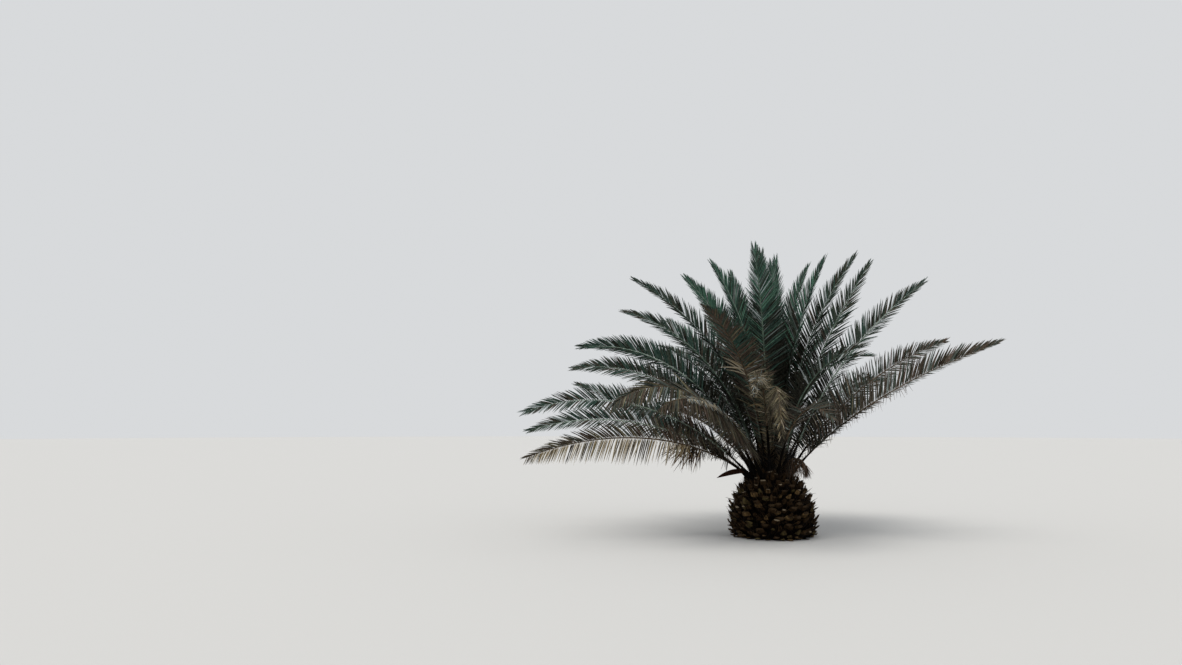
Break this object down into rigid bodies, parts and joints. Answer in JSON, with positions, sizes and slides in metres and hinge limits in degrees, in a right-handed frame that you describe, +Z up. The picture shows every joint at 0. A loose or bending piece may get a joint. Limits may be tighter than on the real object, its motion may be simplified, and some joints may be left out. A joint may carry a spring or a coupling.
{
  "type": "date palm tree",
  "caption": "Young date palm: squat trunk covered with cut leaf bases under a round crown of arching feather fronds, fixed to the ground at its flat cut.",
  "frame": {"origin": "centre of the flat cut under the trunk, at ground level", "axes": "+Z up along the trunk, -Y towards the viewer of the front, +X to the viewer's right"},
  "size_m": [5.637, 4.5096, 3.5122],
  "materials": {
    "bark": "rough brown leaf bases with pale cut ends and dark fibre between them",
    "deep_fronds": "deep green leaflets",
    "green_fronds": "grey-green leaflets",
    "dusty_fronds": "dull green-brown leaflets with dust on them",
    "straw_fronds": "dry straw-coloured leaflets",
    "dead_leaf": "withered dark brown"
  },
  "bodies": {
    "root": {"trunk": "bark", "frond_left1": "straw_fronds", "frond_left2": "dusty_fronds", "frond_left3": "green_fronds", "frond_left4": "green_fronds", "frond_left5": "green_fronds", "frond_left6": "green_fronds", "frond_left7": "green_fronds", "frond_left8": "green_fronds", "frond_left9": "deep_fronds", "frond_left10": "deep_fronds", "frond_left11": "deep_fronds", "frond_top1": "deep_fronds", "frond_top2": "deep_fronds", "frond_top3": "deep_fronds", "frond_top4": "deep_fronds", "frond_right1": "deep_fronds", "frond_right2": "deep_fronds", "frond_right3": "green_fronds", "frond_right4": "green_fronds", "frond_right5": "green_fronds", "frond_right6": "dusty_fronds", "frond_right7": "dusty_fronds", "frond_right8": "dusty_fronds", "frond_front1": "dusty_fronds", "frond_front2": "dusty_fronds", "frond_front3": "straw_fronds", "frond_front4": "dusty_fronds", "frond_front5": "dusty_fronds", "frond_front6": "dusty_fronds", "frond_front7": "green_fronds", "frond_spear": "deep_fronds", "dry_frond": "dead_leaf", "flower_sheath": "dead_leaf", "frond_back1": "dusty_fronds", "frond_back2": "dusty_fronds", "frond_back3": "dusty_fronds", "frond_back4": "dusty_fronds", "frond_back5": "green_fronds", "frond_back6": "green_fronds", "frond_back7": "green_fronds", "frond_back8": "green_fronds", "frond_back9": "green_fronds", "frond_back10": "green_fronds", "frond_back11": "green_fronds", "frond_back12": "green_fronds", "frond_back13": "green_fronds", "frond_back14": "deep_fronds", "frond_back15": "deep_fronds", "frond_back16": "deep_fronds", "frond_back17": "deep_fronds", "frond_back18": "deep_fronds"}
  },
  "joints": []
}
